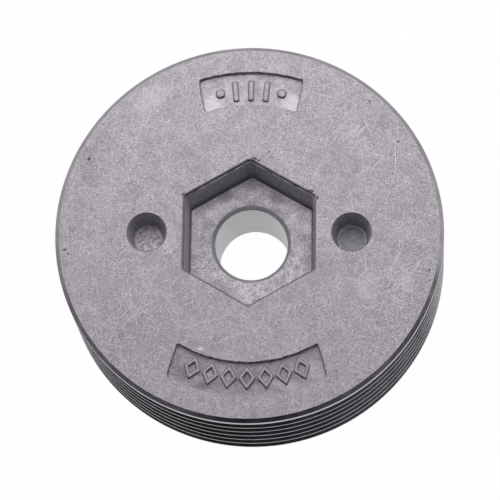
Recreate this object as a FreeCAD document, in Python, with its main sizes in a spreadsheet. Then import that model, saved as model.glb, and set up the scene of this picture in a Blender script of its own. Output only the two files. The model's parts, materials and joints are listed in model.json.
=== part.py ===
import FreeCAD, Part
import math
import os
import re
import Sketcher

# The ribbed belt pulley: one aluminium casting, turned on the rim and in the bore.
# Origin on the axis at the foot of the hub, +Z up to the front face. Lengths in mm, angles in degrees.

# Driving sizes: name, value, what it measures
SIZES = (
    ("rim_radius", 38.0, "axis to the belt rib crests"),
    ("edge_run", 0.8, "turned rim edge, measured across the face"),
    ("edge_drop", 0.6, "turned rim edge, measured along the rim"),
    ("groove_count", 6, "V grooves for the ribs of the belt"),
    ("groove_pitch", 3.56, "groove to groove along the rim"),
    ("groove_angle", 40.0, "between the two flanks of a groove"),
    ("first_land", 1.24, "flat between the front edge and the first groove"),
    ("last_land", 0.1, "flat between the last groove and the back edge"),
    ("crest_width", 0.4, "flat left on a crest between two grooves"),
    ("root_width", 0.7, "flat at the bottom of a groove"),
    ("rim_wall", 4.5, "metal under the groove roots at the open back"),
    ("hub_wall", 2.9, "hub barrel at its foot, outside the socket's corners"),
    ("hub_foot", 3.0, "hub standing out behind the rim"),
    ("foot_edge", 0.8, "break on the outer edge of the hub foot"),
    ("recess_draft", 2.0, "slope of the two walls of the back recess"),
    ("recess_bevel", 1.2, "bevel where those walls meet the web"),
    ("bore_radius", 7.2, "through bore for the shaft or bolt"),
    ("bore_mouth", 0.7, "break of the bore at the socket floor"),
    ("bore_foot", 0.3, "break of the bore at the hub foot"),
    ("hex_flats", 26.1, "hexagon socket across flats at the face"),
    ("hex_depth", 9.0, "face to the socket floor"),
    ("hex_draft", 6.0, "slope of the socket walls"),
    ("hex_corner", 0.4, "round in the six socket corners"),
    ("hole_pitch", 40.0, "between the two blind pin holes"),
    ("hole_radius", 3.95, "pin hole at the face"),
    ("hole_depth", 5.7, "face to the pin hole floor"),
    ("hole_draft", 6.0, "slope of the pin hole wall"),
    ("hole_bevel", 0.6, "bevel round the pin hole floor"),
    ("hole_floor", 3.8, "metal between a pin hole and the back recess"),
    ("mark_inner", 26.0, "axis to the inner edge of both mark recesses"),
    ("mark_outer", 32.8, "axis to the outer edge of both mark recesses"),
    ("mark_depth", 0.8, "face to the floor of both mark recesses"),
    ("mark_draft", 8.0, "slope of the mark recess walls"),
    ("mark_corner", 0.5, "round in the corners of the mark recesses"),
    ("short_mark_inner", 9.1, "half width of the short mark recess, inner end"),
    ("short_mark_outer", 10.45, "half width of the short mark recess, outer end"),
    ("long_mark_inner", 13.6, "half width of the long mark recess, inner end"),
    ("long_mark_outer", 15.6, "half width of the long mark recess, outer end"),
)

# Places worked out from the sizes, as expressions
FLANK_ANGLE = "(groove_angle / 2)"
GROOVE_OPENING = "(groove_pitch - crest_width)"
RIM_WIDTH = "(2 * edge_drop + first_land + last_land + groove_count * groove_pitch - crest_width)"
HEIGHT = f"({RIM_WIDTH} + hub_foot)"
GROOVE_DEPTH = f"(({GROOVE_OPENING} - root_width) / 2 / tan({FLANK_ANGLE}))"
RIM_INNER = f"(rim_radius - {GROOVE_DEPTH} - rim_wall)"
HEX_CORNERS = "(hex_flats / 2 / cos(30))"
HEX_FLOOR = f"({HEIGHT} - hex_depth)"
HUB_RADIUS = f"({HEX_CORNERS} + hub_wall)"
HOLE_FLOOR = f"({HEIGHT} - hole_depth)"
RECESS_FLOOR = f"({HOLE_FLOOR} - hole_floor)"
MARK_FLOOR = f"({HEIGHT} - mark_depth)"

# How far a cutting profile runs past the surface that it opens
OVERRUN = 1.0
# Two heights closer than this are the same height
SAME = 1e-4

doc = FreeCAD.newDocument("RibbedBeltPulley")
names = [name for name, value, note in SIZES]


def make_sheet():
    """The sheet that every sketch and feature reads its sizes from."""
    sheet = doc.addObject("Spreadsheet::Sheet", "Sizes")
    for row, (name, value, note) in enumerate(SIZES, start=1):
        sheet.set(f"A{row}", note)
        sheet.set(f"B{row}", str(value))
        sheet.setAlias(f"B{row}", name)
    doc.recompute()
    return sheet


def bound(text):
    """The expression with each size's name pointed at the sheet."""
    return re.sub(r"[a-z_]+", lambda word: f"Sizes.{word[0]}" if word[0] in names else word[0], text)


def size(text):
    """The value of an expression now, to draw or to pick edges by."""
    value = sheet.evalExpression(bound(text))
    return float(getattr(value, "Value", value))


def origin_part(role):
    """A plane or axis of the body's own origin."""
    return next(part for part in body.Origin.OriginFeatures if part.Role == role)


def new_sketch(name, plane):
    sketch = body.newObject("Sketcher::SketchObject", name)
    sketch.AttachmentSupport = [(origin_part(plane), "")]
    sketch.MapMode = "FlatFace"
    return sketch


def half_section(name):
    """A sketch in the plane of the axis, its x the radius and its y the height."""
    return new_sketch(name, "XZ_Plane")


def face_sketch(name):
    """A sketch on the front face."""
    sketch = new_sketch(name, "XY_Plane")
    sketch.setExpression("AttachmentOffset.Base.z", bound(HEIGHT))
    return sketch


def dimension(sketch, kind, *where, text):
    """A dimension tied to the sheet."""
    index = sketch.addConstraint(Sketcher.Constraint(kind, *where, size(text)))
    sketch.setExpression(f"Constraints[{index}]", bound(text))


def locate(sketch, shape, point, x, y):
    """Place one point of a shape from the sketch's origin."""
    for kind, axis, text in (("DistanceX", -2, x), ("DistanceY", -1, y)):
        if abs(size(text)) < SAME:
            sketch.addConstraint(Sketcher.Constraint("PointOnObject", shape, point, axis))
        else:
            dimension(sketch, kind, -1, 1, shape, point, text=text)


def outline(sketch, corners):
    """A closed line through the corners, each placed by two expressions."""
    points = [FreeCAD.Vector(size(x), size(y), 0) for x, y in corners]
    for start, end in zip(points, points[1:] + points[:1]):
        sketch.addGeometry(Part.LineSegment(start, end))
    for line, (x, y) in enumerate(corners):
        following = (line + 1) % len(corners)
        sketch.addConstraint(Sketcher.Constraint("Coincident", line, 2, following, 1))
        locate(sketch, line, 1, x, y)


def turned(kind, name, sketch):
    """A revolved boss or cut around the pulley's axis."""
    feature = body.newObject(f"PartDesign::{kind}", name)
    feature.Profile = sketch
    feature.ReferenceAxis = (origin_part("Z_Axis"), [""])
    feature.Angle = 360
    return feature


def sunk(name, sketch, depth, draft):
    """A blind pocket cut down from the face, narrowing by its draft."""
    feature = body.newObject("PartDesign::Pocket", name)
    feature.Profile = sketch
    feature.setExpression("Length", bound(depth))
    feature.setExpression("TaperAngle", bound(f"-{draft}"))
    return feature


def dressed(kind, name, base, amount, wanted):
    """A fillet or chamfer on the edges of the last feature that pass the test."""
    doc.recompute()
    edges = [f"Edge{number}" for number, edge in enumerate(base.Shape.Edges, start=1) if wanted(edge)]
    feature = body.newObject(f"PartDesign::{kind}", name)
    feature.Base = (base, edges)
    feature.setExpression("Radius" if kind == "Fillet" else "Size", bound(amount))


def spans(edge, low, high):
    """Whether an edge runs exactly from one height to the other."""
    box = edge.BoundBox
    return abs(box.ZMin - size(low)) < SAME and abs(box.ZMax - size(high)) < SAME


# Casting blank

def make_blank():
    """Half section of the casting: front face, rim, back recess, hub and foot."""
    sketch = half_section("BlankProfile")
    rim_back = "hub_foot"
    hub_at_web = f"{HUB_RADIUS} + {RECESS_FLOOR} * tan(recess_draft)"
    rim_at_web = f"{RIM_INNER} - ({RECESS_FLOOR} - {rim_back}) * tan(recess_draft)"
    outline(sketch, (
        ("0", "0"),
        (f"{HUB_RADIUS} - foot_edge", "0"),
        (f"{HUB_RADIUS} + foot_edge * tan(recess_draft)", "foot_edge"),
        (hub_at_web, RECESS_FLOOR),
        (rim_at_web, RECESS_FLOOR),
        (RIM_INNER, rim_back),
        ("rim_radius - edge_run", rim_back),
        ("rim_radius", f"{rim_back} + edge_drop"),
        ("rim_radius", f"{HEIGHT} - edge_drop"),
        ("rim_radius - edge_run", HEIGHT),
        ("0", HEIGHT),
    ))
    blank = turned("Revolution", "Blank", sketch)
    dressed("Chamfer", "RecessBevels", blank, "recess_bevel",
            lambda edge: spans(edge, RECESS_FLOOR, RECESS_FLOOR))


# Belt grooves

def make_grooves():
    """One turned V groove with a flat root, repeated down the rim."""
    sketch = half_section("GrooveProfile")
    middle = f"({HEIGHT} - edge_drop - first_land - {GROOVE_OPENING} / 2)"
    root = f"rim_radius - {GROOVE_DEPTH}"
    mouth = f"rim_radius + {OVERRUN}"
    reach = f"({GROOVE_OPENING} / 2 + {OVERRUN} * tan({FLANK_ANGLE}))"
    outline(sketch, (
        (root, f"{middle} - root_width / 2"),
        (mouth, f"{middle} - {reach}"),
        (mouth, f"{middle} + {reach}"),
        (root, f"{middle} + root_width / 2"),
    ))
    groove = turned("Groove", "VGroove", sketch)
    pattern = body.newObject("PartDesign::LinearPattern", "VGrooves")
    pattern.Originals = [groove]
    pattern.Direction = (origin_part("Z_Axis"), [""])
    pattern.Reversed = True
    pattern.Mode = "Spacing"
    pattern.setExpression("Offset", bound("groove_pitch"))
    pattern.setExpression("Occurrences", bound("groove_count"))
    body.Tip = pattern


# Hexagon socket

def make_hex_socket():
    """The cast socket: six drafted walls, a point towards each end of the Y axis."""
    sketch = face_sketch("HexProfile")
    turns = [90 + 60 * corner for corner in range(6)]
    outline(sketch, [(f"{HEX_CORNERS} * cos({turn})", f"{HEX_CORNERS} * sin({turn})") for turn in turns])
    socket = sunk("HexSocket", sketch, "hex_depth", "hex_draft")
    dressed("Fillet", "HexCorners", socket, "hex_corner", lambda edge: spans(edge, HEX_FLOOR, HEIGHT))


# Bore

def make_bore():
    """The bored hole through the hub, its edges broken at the socket floor and at the foot."""
    sketch = half_section("BoreProfile")
    outline(sketch, (
        ("0", f"-{OVERRUN}"),
        (f"bore_radius + bore_foot + {OVERRUN}", f"-{OVERRUN}"),
        ("bore_radius", "bore_foot"),
        ("bore_radius", f"{HEX_FLOOR} - bore_mouth"),
        (f"bore_radius + bore_mouth + {OVERRUN}", f"{HEX_FLOOR} + {OVERRUN}"),
        ("0", f"{HEX_FLOOR} + {OVERRUN}"),
    ))
    turned("Groove", "Bore", sketch)


# Pin holes

def make_pin_holes():
    """Two blind cast holes for a pin wrench, one each side of the socket."""
    sketch = face_sketch("PinHoleProfile")
    for hole, side in enumerate(("", "-")):
        middle = FreeCAD.Vector(size(f"{side}hole_pitch / 2"), 0, 0)
        sketch.addGeometry(Part.Circle(middle, FreeCAD.Vector(0, 0, 1), size("hole_radius")))
        dimension(sketch, "Radius", hole, text="hole_radius")
        locate(sketch, hole, 3, f"{side}hole_pitch / 2", "0")
    holes = sunk("PinHoles", sketch, "hole_depth", "hole_draft")
    dressed("Chamfer", "PinHoleBevels", holes, "hole_bevel",
            lambda edge: spans(edge, HOLE_FLOOR, HOLE_FLOOR))


# Mark recesses

def make_mark_recess(name, side, half_inner, half_outer):
    """A shallow ring sector in the face, towards +Y or -Y."""
    sketch = face_sketch(f"{name}Profile")
    axis = FreeCAD.Vector(0, 0, 0)
    upright = FreeCAD.Vector(0, 0, 1)
    facing = math.radians(90 * side)
    ends = []
    for radius, half in (("mark_inner", half_inner), ("mark_outer", half_outer)):
        spread = math.asin(size(half) / size(radius))
        circle = Part.Circle(axis, upright, size(radius))
        arc = Part.ArcOfCircle(circle, facing - spread, facing + spread)
        sketch.addGeometry(arc)
        ends.append((arc.StartPoint, arc.EndPoint))
    inner_arc, outer_arc, start_side, end_side = range(4)
    (inner_start, inner_end), (outer_start, outer_end) = ends
    sketch.addGeometry([Part.LineSegment(inner_start, outer_start), Part.LineSegment(outer_end, inner_end)])
    for constraint in (
        ("Coincident", inner_arc, 3, -1, 1),
        ("Coincident", outer_arc, 3, -1, 1),
        ("Coincident", start_side, 1, inner_arc, 1),
        ("Coincident", start_side, 2, outer_arc, 1),
        ("Coincident", end_side, 1, outer_arc, 2),
        ("Coincident", end_side, 2, inner_arc, 2),
        ("Symmetric", inner_arc, 1, inner_arc, 2, -2),
        ("Symmetric", outer_arc, 1, outer_arc, 2, -2),
    ):
        sketch.addConstraint(Sketcher.Constraint(*constraint))
    for arc, radius, half in ((inner_arc, "mark_inner", half_inner), (outer_arc, "mark_outer", half_outer)):
        dimension(sketch, "Radius", arc, text=radius)
        dimension(sketch, "DistanceX", -1, 1, arc, 1, text=f"{side} * {half}")
    recess = sunk(name, sketch, "mark_depth", "mark_draft")
    dressed("Fillet", f"{name}Corners", recess, "mark_corner",
            lambda edge: spans(edge, MARK_FLOOR, HEIGHT) and edge.CenterOfMass.y * side > 0)


sheet = make_sheet()
body = doc.addObject("PartDesign::Body", "Body")
body.Label = "pulley"
make_blank()
make_grooves()
make_hex_socket()
make_bore()
make_pin_holes()
make_mark_recess("ShortMark", 1, "short_mark_inner", "short_mark_outer")
make_mark_recess("LongMark", -1, "long_mark_inner", "long_mark_outer")
doc.recompute()

for part in doc.Objects:
    if {"Invalid", "Error"} & set(part.State):
        raise RuntimeError(f"{part.Name} failed: {part.State}")
if body.Shape.isNull() or not body.Shape.isValid() or len(body.Shape.Solids) != 1:
    raise RuntimeError("the pulley is not one sound solid")

os.makedirs("parts", exist_ok=True)
body.Shape.exportStep(f"parts/{body.Label}.step")
print(f"{body.Label}: {body.Shape.Volume / 1000:.1f} cm3, {len(body.Shape.Faces)} faces")
print(f"foot to face {size(HEIGHT):.2f} mm, groove depth {size(GROOVE_DEPTH):.2f} mm")
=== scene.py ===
# %% [markdown]
# A ribbed belt pulley
#
# The real pulley is one aluminium casting. Its face and its back keep the skin of the die, and only
# the rim, the two edges of the rim and the bore are turned on a lathe. The lesson builds it as one
# closed skin: a turned outline round the axis, with sockets, holes and marks sunk into its face.
# The pulley and the camera are given in millimetres, the card and the lamps round them in metres. The
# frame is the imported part's: the axis is Z and the foot of the hub is at 0.

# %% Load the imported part
import json
import math
from functools import cached_property

import bmesh
import bpy
from mathutils import Matrix, Quaternion, Vector, noise


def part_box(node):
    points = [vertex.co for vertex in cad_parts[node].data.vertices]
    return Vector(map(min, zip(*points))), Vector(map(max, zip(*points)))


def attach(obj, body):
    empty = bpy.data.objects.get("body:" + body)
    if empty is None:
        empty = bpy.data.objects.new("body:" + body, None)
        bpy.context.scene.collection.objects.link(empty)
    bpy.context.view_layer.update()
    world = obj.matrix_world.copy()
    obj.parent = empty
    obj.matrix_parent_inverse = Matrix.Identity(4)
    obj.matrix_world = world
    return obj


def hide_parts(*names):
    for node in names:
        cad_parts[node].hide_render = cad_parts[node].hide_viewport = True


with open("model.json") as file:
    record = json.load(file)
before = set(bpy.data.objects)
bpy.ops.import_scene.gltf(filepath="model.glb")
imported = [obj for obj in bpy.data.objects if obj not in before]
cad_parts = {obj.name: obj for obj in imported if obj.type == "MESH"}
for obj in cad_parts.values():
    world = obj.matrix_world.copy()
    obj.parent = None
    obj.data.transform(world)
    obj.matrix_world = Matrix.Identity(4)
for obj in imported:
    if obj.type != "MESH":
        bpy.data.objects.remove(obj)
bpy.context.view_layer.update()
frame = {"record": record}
MM = 0.001
mounts = {mount["name"]: mount["dims"] for mount in frame["record"]["mounts"]}
print("mounts:", ", ".join(mounts))

# %% [markdown]
# The sizes
#
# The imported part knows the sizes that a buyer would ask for, so they are read from it: the box, the
# bore, the socket, the pin holes and the grooves. The smaller ones, such as a land or a draft, are
# named where they are first needed, mostly with the values of the part's own source.

# %% Sizes that come with the part
low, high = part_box("pulley")
face_height = high.z / MM
rim_radius = mounts["belt_grooves"]["r_mm"]
groove_count = mounts["belt_grooves"]["count"]
bore_radius = mounts["bore"]["r_mm"]
socket_flats = 2 * mounts["hex_socket"]["r_mm"]
socket_depth = mounts["hex_socket"]["length_mm"]
hole_offset = mounts["pin_holes"]["spacing_x_mm"] / 2
hole_radius = mounts["pin_holes"]["hole_r_mm"]
hole_depth = mounts["pin_holes"]["length_mm"]
socket_floor = face_height - socket_depth
print(f"face at {face_height:.2f} mm, rim radius {rim_radius:.1f} mm, {groove_count} grooves")

# %% [markdown]
# The camera
#
# The photograph looks down on the face with a long lens, from a little to the right of the pulley,
# and the camera is rolled. A camera is easiest to place by a place, a target and a roll about its own
# line of sight. The long lens keeps the far and near edges almost the same size, as they are there.

# %% Camera
CAMERA_PLACE = Vector((35.43, -170.16, 642.65)) * MM
CAMERA_TARGET = Vector((0.0, -2.34, 21.7)) * MM
CAMERA_ROLL = math.radians(-11.51)
CAMERA_LENS = 236.4


def linked(name, data):
    """A new object, put into the scene."""
    made = bpy.data.objects.new(name, data)
    bpy.context.scene.collection.objects.link(made)
    return made


lens = bpy.data.cameras.new("camera")
lens.lens = CAMERA_LENS
camera = linked("camera", lens)
sight = CAMERA_TARGET - CAMERA_PLACE
camera.rotation_mode = "QUATERNION"
camera.rotation_quaternion = sight.to_track_quat("-Z", "Y") @ Quaternion((0, 0, 1), CAMERA_ROLL)
camera.location = CAMERA_PLACE
bpy.context.scene.camera = camera
print(f"camera {sight.length:.3f} m away, lens {CAMERA_LENS} mm")

# %% [markdown]
# One skin
#
# Booleans could cut the openings out of a solid disc, but they leave long slivers beside each cut,
# and a rounded edge is hard to add afterwards. Here every surface is a stack of rings instead. A
# ring is a closed loop of vertices, two neighbouring rings are joined by a band of quads, and a flat
# between rings is filled at the end. A rounded edge is then only a few more rings.

# %% Rings and bands
skin = bmesh.new()


def ring(points, height):
    """A closed loop of vertices at one height. Points and height are in millimetres."""
    return [skin.verts.new(Vector((x, y, height)) * MM) for x, y in points]


def band(above, below, finish):
    """Quads from one ring to the next, which has as many vertices."""
    count = len(above)
    for this in range(count):
        following = (this + 1) % count
        quad = skin.faces.new((above[this], above[following], below[following], below[this]))
        quad.material_index = finish


def stacked(rings, finish):
    """Bands through a whole stack of rings."""
    for above, below in zip(rings, rings[1:]):
        band(above, below, finish)


def flat(rings, finish):
    """Fill the flat inside the first ring and outside the others."""
    edges = [skin.edges.get((loop[this - 1], loop[this])) for loop in rings for this in range(len(loop))]
    made = bmesh.ops.triangle_fill(skin, use_beauty=True, edges=edges, normal=(0, 0, 1))
    for part in made["geom"]:
        if isinstance(part, bmesh.types.BMFace):
            part.material_index = finish


# %% [markdown]
# Finishes
#
# The skin has a handful of finishes. Each face remembers its own by a number, which is the place of
# that finish in the object's list of materials.

# %% Numbers of the finishes
(
    CAST_FACE, TURNED_RIM, CAST_WALL, SOCKET_FLOOR, TURNED_BORE, BORE_EDGE,
    RECESS_FLOOR_SKIN, RECESS_WALL, PAINTED_SHADE_EDGE, LEDGE_PAINTED_HIGHLIGHT, HOLE_FLOOR,
) = range(11)

# %% [markdown]
# The turned outline
#
# Half of the section, drawn as a lathe operator would see it: out from the face over the edge of the
# rim, down the grooves, round the open back, under the foot of the hub and up the bore. Each corner
# has a radius and a height, and how much it is rounded. Real corners are never knife sharp: it is the
# small round that catches a line of light. Where the finish changes, a thin ring of its own keeps the
# shading of the flat beside it out of the bevel.

# %% Round the corners of a section
ROUND_STEPS = 4


def rounded(corners):
    """Replace each corner (radius, height, round) of an open line by a short arc."""
    line = []
    for this, (radius, height, round_off) in enumerate(corners):
        corner = Vector((radius, height))
        if round_off == 0 or this in (0, len(corners) - 1):
            line.append(corner)
            continue
        before = (Vector(corners[this - 1][:2]) - corner).normalized()
        after = (Vector(corners[this + 1][:2]) - corner).normalized()
        half = before.angle(after) / 2
        reach = round_off / math.tan(half)
        centre = corner + (before + after).normalized() * round_off / math.sin(half)
        start = corner + before * reach - centre
        end = corner + after * reach - centre
        for step in range(ROUND_STEPS + 1):
            line.append(centre + start.lerp(end, step / ROUND_STEPS).normalized() * round_off)
    return line


# %% Corners of the section
HALF_HEX_SIDE = math.radians(30)
EDGE_RUN = 0.8
EDGE_DROP = 0.6
EDGE_ROUND = 0.1
BACK_EDGE_ROUND = 0.04
SHARP_ROUND = 0.03
FACE_RING = 0.4
THIN_RING = 0.015
GROOVE_PITCH = 3.56
GROOVE_ANGLE = math.radians(40)
FIRST_LAND = 1.24
CREST_WIDTH = 0.4
CREST_ROUND = 0.15
ROOT_WIDTH = 0.7
ROOT_ROUND = 0.3
HUB_FOOT = 3.0
RIM_WALL = 4.5
HUB_WALL = 2.9
FOOT_EDGE = 0.8
FOOT_ROUND = 0.2
BACK_ROUND = 0.3
BACK_LAND = 0.6
WEB_BEHIND_HOLES = 3.8
RECESS_DRAFT = math.radians(2)
RECESS_ROUND = 2.0
RECESS_FLOOR = face_height - hole_depth - WEB_BEHIND_HOLES
BORE_MOUTH = 0.7
BORE_FOOT = 0.3
BORE_ROUND = 0.05

groove_opening = GROOVE_PITCH - CREST_WIDTH
groove_depth = (groove_opening - ROOT_WIDTH) / 2 / math.tan(GROOVE_ANGLE / 2)
rim_inner = rim_radius - groove_depth - RIM_WALL
hub_radius = socket_flats / 2 / math.cos(HALF_HEX_SIDE) + HUB_WALL


def groove_corners(number):
    """A V groove, from its upper crest to its lower one."""
    middle = face_height - EDGE_DROP - FIRST_LAND - groove_opening / 2 - number * GROOVE_PITCH
    root = rim_radius - groove_depth
    return [
        (rim_radius, middle + groove_opening / 2, CREST_ROUND),
        (root, middle + ROOT_WIDTH / 2, ROOT_ROUND),
        (root, middle - ROOT_WIDTH / 2, ROOT_ROUND),
        (rim_radius, middle - groove_opening / 2, CREST_ROUND),
    ]


edge_radius = rim_radius - EDGE_RUN
face_corners = [(edge_radius - FACE_RING, face_height, 0), (edge_radius - THIN_RING, face_height, 0)]
rim_corners = [
    face_corners[-1],
    (edge_radius, face_height, SHARP_ROUND),
    (rim_radius, face_height - EDGE_DROP, EDGE_ROUND),
]
for number in range(groove_count):
    rim_corners.extend(groove_corners(number))
rim_corners.extend([
    (rim_radius, HUB_FOOT + EDGE_DROP, BACK_EDGE_ROUND),
    (edge_radius, HUB_FOOT, EDGE_ROUND),
    (rim_inner + BACK_LAND, HUB_FOOT, 0),
])

back_corners = [
    rim_corners[-1],
    (rim_inner, HUB_FOOT, BACK_ROUND),
    (rim_inner - (RECESS_FLOOR - HUB_FOOT) * math.tan(RECESS_DRAFT), RECESS_FLOOR, RECESS_ROUND),
    (hub_radius + RECESS_FLOOR * math.tan(RECESS_DRAFT), RECESS_FLOOR, RECESS_ROUND),
    (hub_radius + FOOT_EDGE * math.tan(RECESS_DRAFT), FOOT_EDGE, BACK_ROUND),
    (hub_radius - FOOT_EDGE, 0, FOOT_ROUND),
    (hub_radius - FOOT_EDGE - BACK_LAND, 0, 0),
]
bore_corners = [
    back_corners[-1],
    (bore_radius + BORE_FOOT, 0, BORE_ROUND),
    (bore_radius, BORE_FOOT, BORE_ROUND),
    (bore_radius, socket_floor - BORE_MOUTH - EDGE_ROUND, 0),
]
bore_edge_corners = [
    bore_corners[-1],
    (bore_radius, socket_floor - BORE_MOUTH, EDGE_ROUND),
    (bore_radius + BORE_MOUTH, socket_floor, SHARP_ROUND),
    (bore_radius + BORE_MOUTH + THIN_RING, socket_floor, 0),
]
print(f"groove {groove_depth:.2f} mm deep, hub radius {hub_radius:.2f} mm")
print(f"back recess up to {RECESS_FLOOR:.1f} mm above the foot")

# %% Turn the section round the axis
TURN_STEPS = 256


def turned(line, finish, first=None):
    """Rings for every point of a section line, joined by bands. The first ring may already exist."""
    rings = [first] if first else []
    turns = [2 * math.pi * step / TURN_STEPS for step in range(TURN_STEPS)]
    for radius, height in line[len(rings):]:
        rings.append(ring([(radius * math.cos(turn), radius * math.sin(turn)) for turn in turns], height))
    stacked(rings, finish)
    return rings


face_rings = turned(rounded(face_corners), CAST_FACE)
rim_rings = turned(rounded(rim_corners), TURNED_RIM, face_rings[-1])
back_rings = turned(rounded(back_corners), CAST_FACE, rim_rings[-1])
bore_rings = turned(rounded(bore_corners), TURNED_BORE, back_rings[-1])
bore_rings = turned(rounded(bore_edge_corners), BORE_EDGE, bore_rings[-1])
print(f"turned skin: {len(skin.verts)} vertices")

# %% [markdown]
# Outlines for what is sunk into the face
#
# The socket is a hexagon, the pin holes are discs and the two mark recesses are sectors of a ring.
# All of them are closed outlines with softened corners, so one helper draws them. It takes the
# corners and how far each corner is softened, and a side can be straight or follow the axis.

# %% Draw an outline with softened corners
SIDE_STEPS = 60
CORNER_STEPS = 6


def along(start, end, share, about_axis):
    """A point on the side between two corners, straight or at a steady turn about the axis."""
    if not about_axis:
        return start.lerp(end, share)
    radius = start.length + (end.length - start.length) * share
    turn = math.atan2(start.y, start.x) - start.angle_signed(end) * share
    return Vector((radius * math.cos(turn), radius * math.sin(turn)))


def outline(corners, soft, round_sides=(), side_steps=SIDE_STEPS):
    """Points round a closed outline. round_sides holds the numbers of the sides that follow the axis."""
    corners = [Vector(corner) for corner in corners]
    count = len(corners)
    points = []
    for side in range(count):
        start, end = corners[side], corners[(side + 1) % count]
        trim = soft / (end - start).length
        about_axis = side in round_sides
        for step in range(side_steps + 1):
            share = trim + (1 - 2 * trim) * step / side_steps
            points.append(along(start, end, share, about_axis))
        leave = points[-1]
        beyond = corners[(side + 2) % count]
        next_trim = soft / (beyond - end).length
        enter = along(end, beyond, next_trim, (side + 1) % count in round_sides)
        for step in range(1, CORNER_STEPS):
            share = step / CORNER_STEPS
            points.append(leave.lerp(end, share).lerp(end.lerp(enter, share), share))
    return points


# %% [markdown]
# Sinking and raising
#
# A die leaves the same form everywhere: a small round at the mouth, a wall that leans by a few
# degrees so that the casting lets go, and a fillet at the floor. So one list of steps, each an inset
# and a depth, serves every pocket, and the marks that stand on a floor use it upside down.

# %% The steps of a wall
def wall_steps(depth, draft, mouth, fillet):
    """Steps (inset, depth) from the face, over the mouth's round and down the wall, to the floor."""
    lean = math.tan(draft)
    foot = depth - fillet
    quarter = [math.radians(90) * step / ROUND_STEPS for step in range(ROUND_STEPS + 1)]
    down = [(math.sin(turn), 1 - math.cos(turn)) for turn in quarter]
    steps = [(mouth * (inwards - 1) + mouth * lean, mouth * deeper) for inwards, deeper in down]
    steps.extend((foot * lean + fillet * inwards, foot + fillet * deeper) for deeper, inwards in down)
    return steps


# %% Sink a pocket into the face
EDGE_WANDER = 0.05
WANDER_SCALE = 0.9
JAG_SCALE = 2.6
JAG_SHARE = 0.7
JAG_LAYER = 5
NOISE_ASIDE = Vector((9, 4, 2))
CHIPPED = (Vector((0.9, 14.9)), Vector((12.3, 8.0)))
CHIP_REACH = 1.6
CHIP_STRENGTH = 6.0


def wandered(points, amount):
    """The cast edge isn't quite true: each point moves a little, and more where the edge is chipped."""
    moved = []
    for point in points:
        soft = Vector((point.x, point.y, 0)) * WANDER_SCALE
        jag = Vector((point.x, point.y, JAG_LAYER)) * JAG_SCALE
        along_x = noise.noise(soft) + JAG_SHARE * noise.noise(jag)
        along_y = noise.noise(soft + NOISE_ASIDE) + JAG_SHARE * noise.noise(jag + NOISE_ASIDE)
        chip = max(0, *(1 - (point - place).length / CHIP_REACH for place in CHIPPED))
        moved.append(point + Vector((along_x, along_y)) * amount * (1 + CHIP_STRENGTH * chip))
    return moved


def sunk(shape, steps, finish, edge_finish, wander=EDGE_WANDER, special=None):
    """A pocket in the face. shape(inset) gives its outline. Returns its mouth and floor rings.

    The round at the mouth has its own finish, and special holds the finishes of single bands.
    """
    rings = [ring(wandered(shape(inset), wander), face_height - depth) for inset, depth in steps]
    band_finishes = {number: edge_finish for number in range(ROUND_STEPS)}
    band_finishes.update(special or {})
    for number, (above, below) in enumerate(zip(rings, rings[1:])):
        band(above, below, band_finishes.get(number, finish))
    return rings[0], rings[-1]


def raised(shape, steps, finish, foot_finish, floor):
    """A boss on the height floor, its steps taken from the top down. Returns its top and foot rings."""
    height = steps[-1][1]
    rings = [ring(shape(-inset), floor + height - depth) for inset, depth in steps]
    stacked(rings[:-ROUND_STEPS], finish)
    stacked(rings[-ROUND_STEPS - 1:], foot_finish)
    return rings[0], rings[-1]


# %% [markdown]
# The hexagon socket
#
# It is cast, so its walls lean and its corners are soft. A tiny ledge runs round it less than a
# millimetre down, where the insert of the die met the die. The bore comes up through its floor, and
# the floor keeps a coarse, blotchy skin. In the photograph the rounds at the mouth take up part of the
# opening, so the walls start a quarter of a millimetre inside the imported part's outline and lean less.

# %% Hexagon socket
SOCKET_DRAFT = math.radians(4)
SOCKET_CORNER = 0.55
SOCKET_MOUTH = 0.36
SOCKET_TIGHTER = 0.25
SOCKET_FILLET = 0.35
LEDGE_DEPTH = 0.8
LEDGE_WIDTH = 0.15
LEDGE_INSET = 0.02
LEDGE_ROUND = 0.02
LEDGE_LEAD = 0.08
LEDGE_LIP = 0.05
LEDGE_FOOT = 0.3
# Painted shade above the ledge, and a painted highlight on it.
LEDGE_FINISHES = (PAINTED_SHADE_EDGE, PAINTED_SHADE_EDGE, LEDGE_PAINTED_HIGHLIGHT, LEDGE_PAINTED_HIGHLIGHT)


def hexagon(inset):
    """The socket's outline, a corner towards each end of Y."""
    reach = (socket_flats / 2 - SOCKET_TIGHTER - inset) / math.cos(HALF_HEX_SIDE)
    turns = [math.radians(90) + 2 * HALF_HEX_SIDE * corner for corner in range(6)]
    return outline([(reach * math.cos(turn), reach * math.sin(turn)) for turn in turns], SOCKET_CORNER)


socket_steps = wall_steps(socket_depth, SOCKET_DRAFT, SOCKET_MOUTH, SOCKET_FILLET)
socket_steps[ROUND_STEPS + 1:ROUND_STEPS + 1] = [
    (LEDGE_INSET, LEDGE_DEPTH - LEDGE_LEAD),
    (LEDGE_INSET + LEDGE_ROUND, LEDGE_DEPTH - LEDGE_ROUND),
    (LEDGE_INSET + LEDGE_WIDTH - LEDGE_ROUND, LEDGE_DEPTH),
    (LEDGE_INSET + LEDGE_WIDTH, LEDGE_DEPTH + LEDGE_LIP),
    (LEDGE_INSET + LEDGE_WIDTH, LEDGE_DEPTH + LEDGE_FOOT),
]
socket_bands = {ROUND_STEPS + number: finish for number, finish in enumerate(LEDGE_FINISHES)}
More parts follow.
